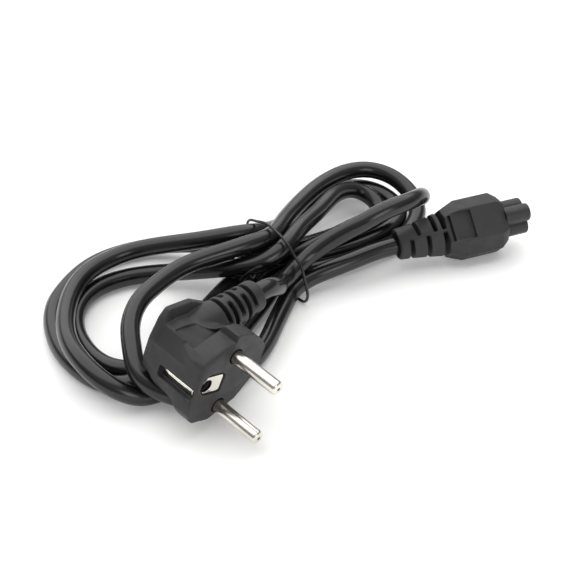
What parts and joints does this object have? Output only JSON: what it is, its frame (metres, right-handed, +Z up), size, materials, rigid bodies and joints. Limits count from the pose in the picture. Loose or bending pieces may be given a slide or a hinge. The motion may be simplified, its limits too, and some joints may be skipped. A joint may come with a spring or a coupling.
{
  "type": "cloverleaf power cord",
  "caption": "Mains lead with an angled earthed plug on round pins and a cloverleaf appliance connector, its black cord folded into a hank and held by a wire tie.",
  "frame": {"origin": "on the surface that the lead lies on, under the middle of the box round the plug, its pins, the connector and the tie", "axes": "+X from the plug's side towards the connector, along the length of the bundle as the picture shows it from left to right; +Y away from the viewer; +Z up from the surface"},
  "size_m": [0.1822, 0.1527, 0.0391],
  "materials": {
    "black_pvc": "matt moulded soft PVC",
    "cord_sheath": "smooth extruded sheath with a soft sheen",
    "nickel_plate": "bright nickel-plated brass",
    "nose_plastic": "harder moulded insert, fine grain",
    "tie_coating": "plastic-coated wire"
  },
  "bodies": {
    "root": {"plug_body": "black_pvc", "pin_upper": "nickel_plate", "pin_lower": "nickel_plate", "earth_clip_near": "nickel_plate", "earth_clip_far": "nickel_plate", "earth_plate": "nickel_plate", "cord": "cord_sheath", "connector_body": "black_pvc", "connector_nose": "nose_plastic", "wire_tie": "tie_coating"}
  },
  "joints": []
}
